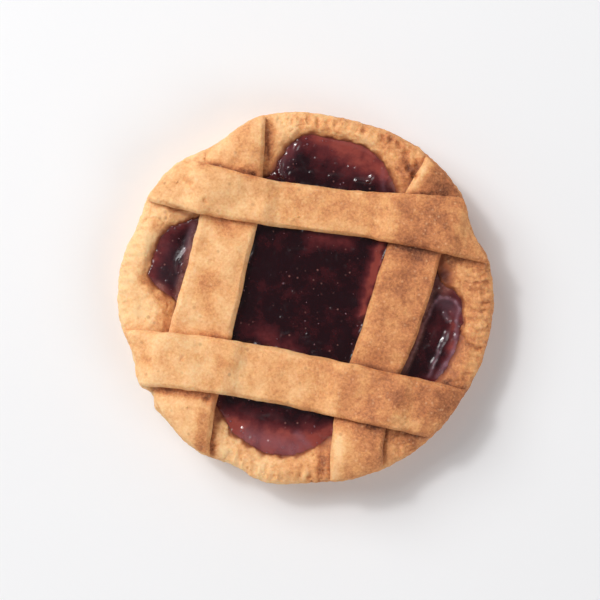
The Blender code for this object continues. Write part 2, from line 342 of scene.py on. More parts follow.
# Dents in the pastry, by depth in mm: pits, creases, and the torn hollow by the right strip's end
DENTED = (
    (33.2, 44.4, 34.0, 43.0, 1.2, 1.30),
    (35.9, 41.0, 36.4, 39.8, 0.9, 1.20),
    (31.0, 42.4, 31.6, 41.5, 0.9, 0.80),
    (36.8, 45.5, 36.4, 43.9, 0.9, 1.00),
    (30.4, 50.9, 30.9, 49.9, 0.8, 0.70),
    (28.0, 53.0, 28.4, 52.0, 0.8, 0.70),
    (28.3, 49.0, 30.0, 48.0, 0.9, 0.60),
    (25.3, 53.0, 25.8, 50.0, 0.9, 0.60),
    (32.0, 50.0, 33.5, 48.0, 0.8, 0.45),
    (-32.9, 31.6, -32.5, 31.3, 0.7, 0.75),
    (-32.8, -33.3, -32.2, -33.3, 0.8, 0.90),
    (20.8, -42.6, 22.4, -42.5, 0.7, 0.60),
    (-39.5, 39.6, -37.6, 37.0, 0.7, 0.50),
    (-47.0, 31.2, -43.0, 30.4, 0.6, 0.40),
    (-42.5, 29.5, -41.5, 29.2, 0.7, 0.45),
    (-48.0, 8.0, -47.0, 9.5, 0.8, 0.20),
    (-40.6, -20.5, -40.0, -20.0, 0.6, 0.45),
    (-51.0, -20.0, -54.0, -20.5, 0.7, 0.30),
    (5.0, -52.0, 6.0, -58.0, 1.2, 0.60),
    (54.0, 2.6, 59.0, 2.6, 0.6, 0.55),
    (55.8, 9.0, 58.4, 9.0, 0.6, 0.60),
    (55.8, 6.8, 57.6, 6.8, 0.6, 0.55),
)

# Folds of the jam that stand up and shine, by height in mm
RIDGED = (
    (-7.7, 46.3, -8.7, 43.8, 0.8, 0.52),
    (-8.7, 43.8, -8.7, 41.3, 0.8, 0.52),
    (-8.7, 41.3, -7.2, 40.3, 0.8, 0.50),
    (16.8, 38.8, 20.8, 38.8, 0.6, 0.40),
    (20.8, 38.8, 22.1, 40.2, 0.6, 0.44),
    (-2.5, 51.0, -3.5, 49.0, 0.7, 0.34),
    (46.0, -5.1, 47.2, -7.3, 0.65, 0.30),
    (47.2, -7.3, 48.2, -7.0, 0.65, 0.28),
    (46.9, -11.4, 45.4, -14.5, 0.75, 0.34),
    (45.4, -14.5, 44.1, -17.6, 0.75, 0.28),
    (42.9, -20.1, 41.6, -22.7, 0.70, 0.26),
    (-39.5, 15.8, -41.9, 12.5, 0.55, 0.34),
    (-41.9, 12.5, -42.5, 8.7, 0.55, 0.34),
    (-40.6, 11.0, -41.0, 10.2, 0.7, 0.34),
    (-20.7, -43.3, -18.8, -45.7, 0.7, 0.44),
)

# Wrinkles and patches of dried skin on the jam, partly a painted sheen where wet jam would reflect the
# room, by how pale they are
WRINKLED_AND_SHEEN = (
    (25.5, 42.0, 25.8, 36.0, 0.9, 0.20),
    (-4.5, 49.5, -7.5, 44.0, 2.4, 0.12),
    (43.0, -1.1, 44.6, 0.3, 0.6, 0.42),
    (44.6, 0.3, 47.0, 0.1, 0.6, 0.42),
    (47.0, 0.1, 49.9, -1.4, 0.6, 0.36),
    (49.9, -1.4, 50.9, -3.5, 0.6, 0.46),
    (50.9, -3.5, 50.0, -7.6, 0.6, 0.46),
    (50.0, -7.6, 49.9, -12.7, 0.55, 0.46),
    (49.9, -12.7, 49.0, -17.8, 0.6, 0.52),
    (49.0, -17.8, 46.6, -21.8, 0.75, 0.55),
    (46.6, -21.8, 43.6, -26.0, 0.8, 0.55),
    (43.0, -1.1, 40.9, -5.4, 0.5, 0.44),
    (40.9, -5.4, 38.2, -11.2, 0.45, 0.38),
    (38.2, -11.2, 37.0, -14.6, 0.45, 0.38),
    (37.0, -14.6, 34.9, -19.9, 0.45, 0.34),
    (34.9, -19.9, 33.6, -23.5, 0.45, 0.28),
    (44.0, -17.9, 42.7, -21.2, 0.6, 0.45),
    (42.7, -21.2, 41.0, -25.8, 0.65, 0.45),
    (45.5, -1.5, 49.0, -4.0, 2.2, 0.24),
    (46.9, -11.4, 44.1, -17.6, 0.7, 0.26),
    (46.0, -5.1, 47.2, -7.3, 0.7, 0.26),
    (-37.3, 24.0, -39.8, 15.0, 1.1, 0.38),
    (-39.8, 15.0, -42.8, 4.0, 1.0, 0.20),
    (-45.5, 16.0, -47.0, 7.0, 3.4, 0.08),
    # The next two are painted sheen over the bottom cell
    (-19.0, -46.0, -3.0, -50.0, 3.0, 0.34),
    (-3.0, -45.0, 1.0, -48.5, 1.2, 0.30),
)

# Jam that is mixed with crumbs and dull, between pastry and jam
CRUMBY = (
    (45.8, 3.4, 44.4, 12.5, 2.2, 0.95),
    (-49.5, 4.0, -47.0, 2.2, 1.4, 0.60),
    (29.6, 38.0, 31.0, 35.5, 1.6, 0.70),
)

# Round blisters and grains of fruit under the skin, by height in mm
BLISTERED = tuple(
    (x, y, x, y, 0.42, 0.26)
    for x, y in (
        (-0.2, 50.3), (3.3, 50.5), (3.5, 46.3), (-3.7, 45.6), (14.3, 43.5), (16.6, 43.0), (10.0, 44.5),
        (-5.5, 43.0), (1.5, 41.5), (8.0, 40.5), (-43.5, 21.2), (-47.8, 17.6), (-45.3, 18.4),
        (-50.3, 11.4), (-47.3, 9.8), (-46.0, 5.5), (44.0, 3.6), (46.5, -18.5), (-12.0, -47.5),
        (-7.5, -49.5), (5.0, -45.2), (-4.0, 2.0), (8.5, -3.5), (13.0, 10.5), (-8.0, -6.5),
        (0.5, -12.0), (15.5, 16.5), (-5.5, 16.0),
    )
)

# Where the jam is thin enough to show a dull red, and where the same red is a painted sheen, in the top
# and bottom cells
THIN_JAM_AND_SHEEN = (
    # The next three are partly painted sheen, over the top cell
    (2.0, 51.0, 14.0, 50.0, 3.8, 0.40),
    (14.0, 50.0, 25.0, 41.0, 4.4, 0.42),
    (6.0, 46.5, 20.0, 42.0, 4.6, 0.40),
    # The next two are partly painted sheen, over the bottom cell
    (-22.0, -42.0, -8.0, -48.0, 5.0, 0.85),
    (-8.0, -48.0, 8.0, -44.5, 4.0, 0.85),
    (44.4, -8.0, 43.0, -17.0, 2.0, 0.20),
    (48.8, -5.0, 47.8, -17.0, 1.5, 0.46),
    (-49.5, 8.0, -46.5, 18.5, 2.6, 0.15),
    (23.4, 16.5, 19.0, -3.0, 2.4, 0.55),
    (25.4, 18.0, 21.4, 3.0, 1.5, 0.70),
    (21.4, 3.0, 19.0, -5.0, 1.4, 0.40),
    (18.6, -6.0, 17.2, -12.0, 1.6, 0.35),
    (-12.5, -13.0, -3.0, -21.0, 4.0, 0.50),
    (2.0, 20.0, 14.0, 18.5, 3.0, 0.45),
)

# Where sugar and fruit boiled up in grains along the pastry
GRAINY_JAM = (
    (-36.5, 26.5, -39.0, 19.0, 1.8, 1.0),
    (-39.0, 19.0, -42.5, 2.0, 2.0, 1.0),
    (-9.5, 44.5, -8.5, 39.5, 1.8, 0.9),
    (-22.5, -41.0, -19.0, -45.0, 1.6, 0.9),
    (-12.8, 14.0, -14.0, 0.0, 1.8, 0.7),
    (18.0, -8.0, 16.5, -20.0, 1.8, 0.6),
)

# A fork's tines marked the rim: the bearing of the first mark and the step to the next, in degrees
TINE_START = 1.5
TINE_STEP = 3.0
TINE_SEED = 7

# How the marks vary, at least and at most: the drift in degrees, and in mm how far in from the rim
# they start, their length and their depth. The last is a draw, below which a mark is missing.
TINE_LEAST = (-0.6, 2.2, 1.2, 0.20, 0.0)
TINE_MOST = (0.6, 3.8, 4.6, 0.70, 1.0)
TINE_MISSED = 0.3
TINE_RADIUS = 0.6

# Where the strips leave the rim open: the middle's bearing and half the width in degrees, and how
# clear the marks are there
OPEN_RIM = (
    (74.0, 28.0, 1.0),
    (-7.5, 23.0, 1.0),
    (256.0, 20.0, 0.9),
    (163.0, 22.0, 0.2),
    (300.0, 6.0, 0.7),
)

# Lamps: place and width in metres, and power in watts
LAMPS = (
    ("key", (-0.96, 0.80, 1.25), 1.28, 18.6),
    ("glint", (-0.83, 0.74, 1.38), 0.25, 7.2),
    ("fill", (1.12, -0.80, 1.28), 1.10, 6.6),
)

# The room's colour, and how bright it is around the tart and straight overhead
ROOM_COLOUR = "#FBFBFC"
ROOM_AROUND = 0.42
ROOM_OVERHEAD = 0.09

# The camera of the photograph: straight above, with one pixel of 600 covering 0.33 mm at the rim
PICTURE_WIDTH = 0.198
CAMERA_HEIGHT = 0.80
CAMERA_CENTRE = (-0.00184, -0.00067)
SENSOR_WIDTH = 36.0


def linear(hex_colour):
    """An sRGB hex colour as the linear RGBA that Blender works in."""
    channels = [int(hex_colour[i : i + 2], 16) / 255.0 for i in (1, 3, 5)]
    return (*(c / 12.92 if c <= 0.04045 else ((c + 0.055) / 1.055) ** 2.4 for c in channels), 1.0)


def add_node(tree, kind, inputs=None, out=None, **settings):
    """Adds a node with its settings, and returns it, or the output socket that out names.

    An input is given by its name or number, as a value or as the socket that feeds it.
    """
    node = tree.nodes.new(kind)
    for name, value in settings.items():
        setattr(node, name, value)
    for key, value in (inputs or {}).items():
        if isinstance(value, bpy.types.NodeSocket):
            tree.links.new(value, node.inputs[key])
        else:
            node.inputs[key].default_value = value
    return node if out is None else node.outputs[out]


def set_ramp(ramp, stops):
    """Gives a colour ramp its stops: (position, hex colour) pairs in order."""
    while len(ramp.elements) < len(stops):
        ramp.elements.new(1.0)
    for element, (position, colour) in zip(ramp.elements, stops):
        element.position = position
        element.color = linear(colour)


def start_material(name):
    made = bpy.data.materials.new(name)
    made.use_nodes = True
    return made, made.node_tree, made.node_tree.nodes["Principled BSDF"]


def set_shader(shader, values):
    """Sets the shader's own sockets to what is the same all over the surface."""
    for name, value in values.items():
        shader.inputs[name].default_value = value


def with_specks(tree, place, under, colour, spacing, draw, picked, radii, strength):
    """A colour with specks of another over it, as the tables of specks describe them."""
    cells = add_node(tree, "ShaderNodeTexVoronoi", {"Vector": place, "Scale": 1.0 / spacing})
    chance = add_node(tree, "ShaderNodeSeparateColor", {0: cells.outputs["Color"]}, draw)
    chosen = add_node(
        tree, "ShaderNodeMapRange", {"Value": chance, "From Min": picked[0], "From Max": picked[1]}, 0
    )
    away = cells.outputs["Distance"]
    near = add_node(
        tree,
        "ShaderNodeMapRange",
        {"Value": away, "From Min": radii[0], "From Max": radii[1], "To Min": strength, "To Max": 0.0},
        0,
    )
    shown = add_node(tree, "ShaderNodeMath", {0: chosen, 1: near}, 0, operation="MULTIPLY")
    return add_node(tree, "ShaderNodeMix", {0: shown, 6: under, 7: linear(colour)}, 2, data_type="RGBA")


def browned_and_shaded_colour(tree, place, patches, grain):
    """Dry crust, as brown as its attribute of browning and painted shade says, in patches, with a sandy
    grain, bran and flour.
    """
    # Browning and painted shade
    brown_and_shade = add_node(tree, "ShaderNodeAttribute", out="Fac", attribute_name="brown_and_shade")
    patchy = add_node(
        tree,
        "ShaderNodeMapRange",
        {"Value": patches, "From Min": 0.35, "From Max": 0.65, "To Min": -0.12, "To Max": 0.15},
        0,
    )
    fleck = add_node(
        tree,
        "ShaderNodeMapRange",
        {"Value": grain, "From Min": 0.3, "From Max": 0.7, "To Min": -0.14, "To Max": 0.14},
        0,
    )
    baked = add_node(tree, "ShaderNodeMath", {0: brown_and_shade, 1: patchy}, 0, operation="ADD", use_clamp=True)
    share = add_node(tree, "ShaderNodeMath", {0: baked, 1: fleck}, 0, operation="ADD", use_clamp=True)
    ramp = add_node(tree, "ShaderNodeValToRGB", {"Fac": share})
    set_ramp(ramp.color_ramp, CRUST_COLOURS)
    return with_specks(tree, place, with_specks(tree, place, ramp.outputs[0], **BRAN), **FLOUR)


def juice_over(tree, crust, stain):
    """The crust's colour, with jam soaked into it or smeared over it where its stain says."""
    wetted = add_node(
        tree,
        "ShaderNodeMapRange",
        {"Value": stain, "From Max": 0.65},
        0,
        interpolation_type="SMOOTHSTEP",
    )
    juice = add_node(tree, "ShaderNodeValToRGB", {"Fac": stain})
    set_ramp(juice.color_ramp, SOAKED_COLOURS)
    return add_node(
        tree, "ShaderNodeMix", {0: wetted, 6: crust, 7: juice.outputs[0]}, 2, data_type="RGBA"
    )


def shortcrust_material(name):
    """Baked shortcrust: a dry, sandy crumb of flour and butter, rolled, cut and oven browned.

    The eye sees matte gold that turns brown where the heat reached it and darker where shade is painted,
    a grain of under a millimetre with paler and darker specks, and stained, wetter pastry where jam
    soaked in.
    """
    made, tree, shader = start_material(name)
    place = add_node(tree, "ShaderNodeTexCoord", out="Object")
    patches = add_node(
        tree,
        "ShaderNodeTexNoise",
        {"Vector": place, "Scale": 1.0 / OVEN_PATCH, "Detail": 4.0, "Roughness": 0.62},
        0,
    )
    grain = add_node(
        tree,
        "ShaderNodeTexNoise",
        {"Vector": place, "Scale": 1.0 / SANDY_GRAIN, "Detail": 3.0, "Roughness": 0.7},
        0,
    )
    stain = add_node(tree, "ShaderNodeAttribute", out="Fac", attribute_name="stain")
    colour = juice_over(tree, browned_and_shaded_colour(tree, place, patches, grain), stain)
    tree.links.new(colour, shader.inputs["Base Color"])

    dry = add_node(
        tree,
        "ShaderNodeMapRange",
        {"Value": patches, "From Min": 0.3, "From Max": 0.7, "To Min": 0.78, "To Max": 0.64},
        0,
    )
    wet = add_node(tree, "ShaderNodeMapRange", {"Value": stain, "To Max": 0.35}, 0)
    rough = add_node(tree, "ShaderNodeMath", {0: dry, 1: wet}, 0, operation="SUBTRACT")
    tree.links.new(rough, shader.inputs["Roughness"])
    crumb = add_node(
        tree,
        "ShaderNodeTexNoise",
        {"Vector": place, "Scale": 1.0 / FINE_CRUMB, "Detail": 2.0, "Roughness": 0.6},
        0,
    )
    height = add_node(tree, "ShaderNodeMath", {0: grain, 1: crumb}, 0, operation="ADD")
    bump = add_node(
        tree, "ShaderNodeBump", {"Height": height, "Strength": 0.55, "Distance": 0.20 * MM}, "Normal"
    )
    tree.links.new(bump, shader.inputs["Normal"])
    set_shader(shader, BAKED_CRUST)
    return made


def jam_colour(tree, place, pulp, skin, crumby):
    """Cloudy red, darker the deeper it is and lighter where a sheen is painted, with fruit grit, under
    dried skin with painted sheen and mixed-in crumbs.
    """
    depth = add_node(tree, "ShaderNodeAttribute", out="Fac", attribute_name="depth")
    cloudy = add_node(
        tree,
        "ShaderNodeMapRange",
        {"Value": pulp, "From Min": 0.3, "From Max": 0.7, "To Min": -0.26, "To Max": 0.26},
        0,
    )
    share = add_node(tree, "ShaderNodeMath", {0: depth, 1: cloudy}, 0, operation="ADD", use_clamp=True)
    ramp = add_node(tree, "ShaderNodeValToRGB", {"Fac": share})
    set_ramp(ramp.color_ramp, JAM_COLOURS)
    colour = with_specks(tree, place, ramp.outputs[0], **FRUIT_GRIT)
    for cover, shade in ((skin, SKIN_AND_PAINTED_SHEEN), (crumby, CRUMBS_IN_JAM)):
        colour = add_node(
            tree, "ShaderNodeMix", {0: cover, 6: colour, 7: linear(shade)}, 2, data_type="RGBA"
        )
    return colour


def guava_jam_material():
    """Guava jam: sugar-set fruit gel, boiled dark, with a skin that dried in the oven.

    The eye sees near-black red where it is deep, a dull clearer red where it is thin or where a
    broad sheen is painted, paler painted sheen on its dried skin, and sharp small highlights on a wet,
    faintly uneven skin.
    """
    made, tree, shader = start_material("Guava jam, set and oven dried")
    place = add_node(tree, "ShaderNodeTexCoord", out="Object")
    skin = add_node(tree, "ShaderNodeAttribute", out="Fac", attribute_name="skin")
    mixed_in = add_node(tree, "ShaderNodeAttribute", out="Fac", attribute_name="crumby")
    pulp = add_node(
        tree,
        "ShaderNodeTexNoise",
        {"Vector": place, "Scale": 1.0 / PULP_SIZE, "Detail": 5.0, "Roughness": 0.65},
        0,
    )
    uneven = add_node(
        tree,
        "ShaderNodeMapRange",
        {"Value": pulp, "From Min": 0.38, "From Max": 0.56, "To Min": 0.30, "To Max": 1.0},
        0,
    )
    crumby = add_node(tree, "ShaderNodeMath", {0: mixed_in, 1: uneven}, 0, operation="MULTIPLY")
    tree.links.new(jam_colour(tree, place, pulp, skin, crumby), shader.inputs["Base Color"])

    wet = add_node(
        tree,
        "ShaderNodeMapRange",
        {"Value": pulp, "From Min": 0.35, "From Max": 0.7, "To Min": 0.07, "To Max": 0.22},
        0,
    )
    dull = add_node(tree, "ShaderNodeMath", {0: skin, 1: crumby}, 0, operation="ADD", use_clamp=True)
    dull = add_node(tree, "ShaderNodeMapRange", {"Value": dull, "To Max": 0.28}, 0)
    rough = add_node(tree, "ShaderNodeMath", {0: wet, 1: dull}, 0, operation="ADD")
    tree.links.new(rough, shader.inputs["Roughness"])
    pores = add_node(
        tree,
        "ShaderNodeTexNoise",
        {"Vector": place, "Scale": 1.0 / PORE_SIZE, "Detail": 3.0, "Roughness": 0.6},
        0,
    )
    bump = add_node(
        tree, "ShaderNodeBump", {"Height": pores, "Strength": 0.18, "Distance": 0.20 * MM}, "Normal"
    )
    tree.links.new(bump, shader.inputs["Normal"])
    set_shader(shader, WET_JAM)
    return made


def pale_board_material():
    """Matte pale studio board, with a faint unevenness."""
    made, tree, shader = start_material("Matte pale studio board")
    place = add_node(tree, "ShaderNodeTexCoord", out="Object")
    cloud = add_node(
        tree, "ShaderNodeTexNoise", {"Vector": place, "Scale": 1.0 / BOARD_CLOUD, "Detail": 2.0}, 0
    )
    ramp = add_node(tree, "ShaderNodeValToRGB", {"Fac": cloud})
    set_ramp(ramp.color_ramp, BOARD_COLOURS)
    tree.links.new(ramp.outputs[0], shader.inputs["Base Color"])
    set_shader(shader, {"Roughness": 0.9})
    return made


def link(obj):
    bpy.context.scene.collection.objects.link(obj)
    return obj


def settle_modifiers(obj):
    """Replaces the object's mesh by what its modifiers make of it, and removes them."""
    bpy.context.view_layer.update()
    graph = bpy.context.evaluated_depsgraph_get()
    mesh = bpy.data.meshes.new_from_object(obj.evaluated_get(graph))
    obj.modifiers.clear()
    old, obj.data = obj.data, mesh
    mesh.name = obj.name
    bpy.data.meshes.remove(old)
    return obj


def fine_copy(name, node, cell, rounds):
    """A fine, even skin over a copy of a CAD node, its facets and hard edges worn soft in rounds."""
    obj = link(bpy.data.objects.new(name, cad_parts[node].data.copy()))
    obj.data.materials.clear()
    shape = bmesh.new()
    shape.from_mesh(obj.data)
    bmesh.ops.remove_doubles(shape, verts=shape.verts, dist=0.01 * MM)
    shape.to_mesh(obj.data)
    shape.free()
    skin = obj.modifiers.new("Even skin", "REMESH")
    skin.mode = "VOXEL"
    skin.voxel_size = cell
    soften = obj.modifiers.new("Soften", "SMOOTH")
    soften.factor = 0.5
    soften.iterations = rounds
    return settle_modifiers(obj)


def read(mesh, domain, name):
    """A vector of each vertex, such as its place or its normal, as rows."""
    values = np.empty(len(mesh.vertices) * 3, np.float32)
    getattr(mesh, domain).foreach_get(name, values)
    return values.reshape(-1, 3)


def places_of(mesh):
    return read(mesh, "vertices", "co")


def normals_of(mesh):
    return read(mesh, "vertex_normals", "vector")


def floats_of(mesh, name):
    values = np.empty(len(mesh.vertices), np.float32)
    mesh.attributes[name].data.foreach_get("value", values)
    return values


def store(mesh, name, values):
    attribute = mesh.attributes.get(name) or mesh.attributes.new(name, "FLOAT", "POINT")
    attribute.data.foreach_set("value", np.asarray(values, np.float32))


def move_to(mesh, places):
    mesh.vertices.foreach_set("co", places.ravel())
    mesh.update()


def smoothstep(low, high, values):
    share = np.clip((values - low) / (high - low), 0.0, 1.0)
    return share * share * (3.0 - 2.0 * share)


def radius_of(places):
    return np.hypot(places[:, 0], places[:, 1])


def outward_of(places):
    """The level direction from the tart's middle towards each place."""
    return places[:, :2] / np.maximum(radius_of(places), MM)[:, None]


def add_weights(obj, name, weights):
    """A vertex group whose weights are rounded to tenths, which is as fine as it needs."""
    group = obj.vertex_groups.new(name=name)
    tenths = np.rint(np.clip(weights, 0.0, 1.0) * 10.0).astype(int)
    for tenth in range(1, 11):
        group.add(np.flatnonzero(tenths == tenth).tolist(), tenth / 10.0, "REPLACE")
    return group


def thin_out(obj, hidden):
    """Fewer, larger faces where other pieces or the board hide the surface."""
    fewer = obj.modifiers.new("Fewer hidden faces", "DECIMATE")
    fewer.vertex_group = add_weights(obj, "hidden", hidden.astype(float)).name
    fewer.ratio = HIDDEN_KEPT
    settle_modifiers(obj)
    obj.vertex_groups.clear()


def start_tree(name, *value_names):
    """A geometry tree that takes and gives a mesh, with these values as its other inputs."""
    tree = bpy.data.node_groups.new(name, "GeometryNodeTree")
    tree.interface.new_socket("Geometry", in_out="INPUT", socket_type="NodeSocketGeometry")
    tree.interface.new_socket("Geometry", in_out="OUTPUT", socket_type="NodeSocketGeometry")
    for value_name in value_names:
        tree.interface.new_socket(value_name, in_out="INPUT", socket_type="NodeSocketFloat")
    return tree, add_node(tree, "NodeGroupInput").outputs


def run_tree(obj, tree, values, seed):
    """Runs a tree on the object with these values for its inputs, and keeps the mesh it makes."""
    modifier = obj.modifiers.new(tree.name, "NODES")
    modifier.node_group = tree
    wanted = {**values, "Seed": seed}
    for item in tree.interface.items_tree:
        if item.item_type == "SOCKET" and item.in_out == "INPUT" and item.name in wanted:
            modifier[item.identifier] = wanted.pop(item.name)
    if wanted:
        raise ValueError(f"{tree.name} has no inputs {sorted(wanted)}")
    return settle_modifiers(obj)


def wave_height(tree, place, given, name, detail, distortion=0.0):
    """Noise of one size, as a height from minus to plus the height that the tree is given."""
    scale = add_node(tree, "ShaderNodeMath", {0: 1.0, 1: given[f"{name} size"]}, 0, operation="DIVIDE")
    noise = add_node(
        tree,
        "ShaderNodeTexNoise",
        {"Vector": place, "W": given["Seed"], "Scale": scale, "Detail": detail, "Distortion": distortion},
        0,
        noise_dimensions="4D",
    )
    centred = add_node(tree, "ShaderNodeMath", {0: noise, 1: 0.5}, 0, operation="SUBTRACT")
    twice = add_node(tree, "ShaderNodeMath", {0: centred, 1: 2.0}, 0, operation="MULTIPLY")
    return add_node(
        tree, "ShaderNodeMath", {0: twice, 1: given[f"{name} height"]}, 0, operation="MULTIPLY"
    )


def fading_out(tree, away, reach):
    """One at no distance, and smoothly down to nothing at the reach."""
    return add_node(
        tree,
        "ShaderNodeMapRange",
        {"Value": away, "From Max": reach, "To Min": 1.0, "To Max": 0.0},
        0,
        interpolation_type="SMOOTHSTEP",
    )


def pit_sink(tree, place, given):
    """Round pits, one to a cell, in the share of the cells that a random draw picks."""
    scale = add_node(tree, "ShaderNodeMath", {0: 1.0, 1: given["Pit spacing"]}, 0, operation="DIVIDE")
    cells = add_node(
        tree,
        "ShaderNodeTexVoronoi",
        {"Vector": place, "W": given["Seed"], "Scale": scale},
        voronoi_dimensions="4D",
    )
    draw = add_node(tree, "FunctionNodeSeparateColor", {0: cells.outputs["Color"]}, 0)
    chosen = add_node(
        tree, "FunctionNodeCompare", {0: draw, 1: given["Pit share"]}, 0, operation="LESS_THAN"
    )
    reach = add_node(tree, "ShaderNodeMath", {0: given["Pit radius"], 1: scale}, 0, operation="MULTIPLY")
    near = fading_out(tree, cells.outputs["Distance"], reach)
    pit = add_node(tree, "ShaderNodeMath", {0: near, 1: chosen}, 0, operation="MULTIPLY")
    return add_node(tree, "ShaderNodeMath", {0: pit, 1: given["Pit depth"]}, 0, operation="MULTIPLY")


def crack_sink(tree, place, given):
    """Short cracks: the wandering edges of cells, open in patches only."""
    bend = add_node(
        tree,
        "ShaderNodeTexNoise",
        {"Vector": place, "Scale": 1.0 / CRACK_BEND_SIZE, "Detail": 2.0},
        "Color",
    )
    bend = add_node(tree, "ShaderNodeVectorMath", {0: bend, 1: (0.5, 0.5, 0.5)}, 0, operation="SUBTRACT")
    bend = add_node(tree, "ShaderNodeVectorMath", {0: bend, "Scale": CRACK_BEND}, 0, operation="SCALE")
    bent = add_node(tree, "ShaderNodeVectorMath", {0: place, 1: bend}, 0, operation="ADD")
    scale = add_node(tree, "ShaderNodeMath", {0: 1.0, 1: given["Crack spacing"]}, 0, operation="DIVIDE")
    edge = add_node(
        tree, "ShaderNodeTexVoronoi", {"Vector": bent, "Scale": scale}, 0, feature="DISTANCE_TO_EDGE"
    )
    width = add_node(tree, "ShaderNodeMath", {0: given["Crack width"], 1: scale}, 0, operation="MULTIPLY")
    line = fading_out(tree, edge, width)
    patch = add_node(
        tree,
        "ShaderNodeTexNoise",
        {"Vector": place, "W": given["Seed"], "Scale": 1.0 / CRACK_PATCH, "Detail": 1.0},
        0,
        noise_dimensions="4D",
    )
    least = add_node(
        tree, "ShaderNodeMath", {0: CRACK_LEVEL, 1: given["Crack share"]}, 0, operation="SUBTRACT"
    )
    most = add_node(tree, "ShaderNodeMath", {0: least, 1: CRACK_STEP}, 0, operation="ADD")
    opened = add_node(
        tree,
        "ShaderNodeMapRange",
        {"Value": patch, "From Min": least, "From Max": most},
        0,
        interpolation_type="SMOOTHSTEP",
    )
    crack = add_node(tree, "ShaderNodeMath", {0: line, 1: opened}, 0, operation="MULTIPLY")
    return add_node(tree, "ShaderNodeMath", {0: crack, 1: given["Crack depth"]}, 0, operation="MULTIPLY")


def pastry_relief_tree():
    """Pastry relief along the normals: swells, lumps, a sandy grain, pits and short cracks.

    It keeps how low each place lies, in mm and apart from the swells, as the attribute "low",
    and it fades towards the underside, which took the tin's surface.
    """
    tree, given = start_tree("Pastry relief", *PASTRY_RELIEF, "Seed")
    place = add_node(tree, "GeometryNodeInputPosition", out=0)
    normal = add_node(tree, "GeometryNodeInputNormal", out=0)
    swell = wave_height(tree, place, given, "Swell", 1.0)
    lump = wave_height(tree, place, given, "Lump", 2.0)
    grain = wave_height(tree, place, given, "Grain", 3.0)
    fine = add_node(tree, "ShaderNodeMath", {0: lump, 1: grain}, 0, operation="ADD")
    pits = pit_sink(tree, place, given)
    cracks = crack_sink(tree, place, given)
    sink = add_node(tree, "ShaderNodeMath", {0: pits, 1: cracks}, 0, operation="ADD")
    low = add_node(tree, "ShaderNodeMath", {0: sink, 1: fine}, 0, operation="SUBTRACT")
    height = add_node(tree, "ShaderNodeMath", {0: swell, 1: low}, 0, operation="SUBTRACT")

    up = add_node(tree, "ShaderNodeSeparateXYZ", {0: normal}, "Z")
    shown = add_node(
        tree,
        "ShaderNodeMapRange",
        {"Value": up, "From Min": -0.95, "From Max": 0.5, "To Min": 0.12, "To Max": 1.0},
        0,
    )
    height = add_node(tree, "ShaderNodeMath", {0: height, 1: shown}, 0, operation="MULTIPLY")
    height = add_node(tree, "ShaderNodeMath", {0: height, 1: given["Inset"]}, 0, operation="SUBTRACT")
    offset = add_node(tree, "ShaderNodeVectorMath", {0: normal, "Scale": height}, 0, operation="SCALE")
    in_mm = add_node(tree, "ShaderNodeMath", {0: low, 1: MM}, 0, operation="DIVIDE")
    marked = add_node(
        tree,
        "GeometryNodeStoreNamedAttribute",
        {"Geometry": given["Geometry"], "Name": "low", "Value": in_mm},
        0,
        data_type="FLOAT",
        domain="POINT",
    )
    moved = add_node(tree, "GeometryNodeSetPosition", {"Geometry": marked, "Offset": offset}, 0)
    add_node(tree, "NodeGroupOutput", {"Geometry": moved})
    return tree


def jam_relief_tree():
    """Jam relief: soft swells where it set unevenly, patches of folded skin, and small dimples."""
    tree, given = start_tree("Jam relief", *JAM_RELIEF, "Seed")
    place = add_node(tree, "GeometryNodeInputPosition", out=0)
    normal = add_node(tree, "GeometryNodeInputNormal", out=0)
    swell = wave_height(tree, place, given, "Swell", 1.0)
    fold = wave_height(tree, place, given, "Fold", 1.0, 1.0)
    patch = add_node(
        tree, "ShaderNodeTexNoise", {"Vector": place, "Scale": 1.0 / FOLDED_PATCH, "Detail": 1.0}, 0
    )
    folded = add_node(tree, "ShaderNodeMapRange", {"Value": patch, "From Min": 0.42, "From Max": 0.60}, 0)
    fold = add_node(tree, "ShaderNodeMath", {0: fold, 1: folded}, 0, operation="MULTIPLY")
    dimple = wave_height(tree, place, given, "Dimple", 2.0, 0.5)
    fine = add_node(tree, "ShaderNodeMath", {0: fold, 1: dimple}, 0, operation="ADD")
    total = add_node(tree, "ShaderNodeMath", {0: swell, 1: fine}, 0, operation="ADD")
    up = add_node(tree, "ShaderNodeSeparateXYZ", {0: normal}, "Z")
    shown = add_node(tree, "ShaderNodeMapRange", {"Value": up, "From Min": 0.2, "From Max": 0.8}, 0)
    total = add_node(tree, "ShaderNodeMath", {0: total, 1: shown}, 0, operation="MULTIPLY")
    offset = add_node(tree, "ShaderNodeVectorMath", {0: normal, "Scale": total}, 0, operation="SCALE")
    moved = add_node(
        tree, "GeometryNodeSetPosition", {"Geometry": given["Geometry"], "Offset": offset}, 0
    )
    add_node(tree, "NodeGroupOutput", {"Geometry": moved})
    return tree


def lumpy_grain(tree):
    """One grain, about one across: a ball of few faces, dented by noise."""
    ball = add_node(tree, "GeometryNodeMeshUVSphere", {"Radius": 0.5, "Segments": 7, "Rings": 4}, 0)
    place = add_node(tree, "GeometryNodeInputPosition", out=0)
    dents = add_node(tree, "ShaderNodeTexNoise", {"Vector": place, "Scale": 2.2, "Detail": 1.0}, 0)
    dented = add_node(
        tree,
        "ShaderNodeMapRange",
        {"Value": dents, "From Min": 0.3, "From Max": 0.7, "To Min": -0.25, "To Max": 0.15},
        0,
    )
    shift = add_node(tree, "ShaderNodeVectorMath", {0: place, "Scale": dented}, 0, operation="SCALE")
    return add_node(tree, "GeometryNodeSetPosition", {"Geometry": ball, "Offset": shift}, 0)


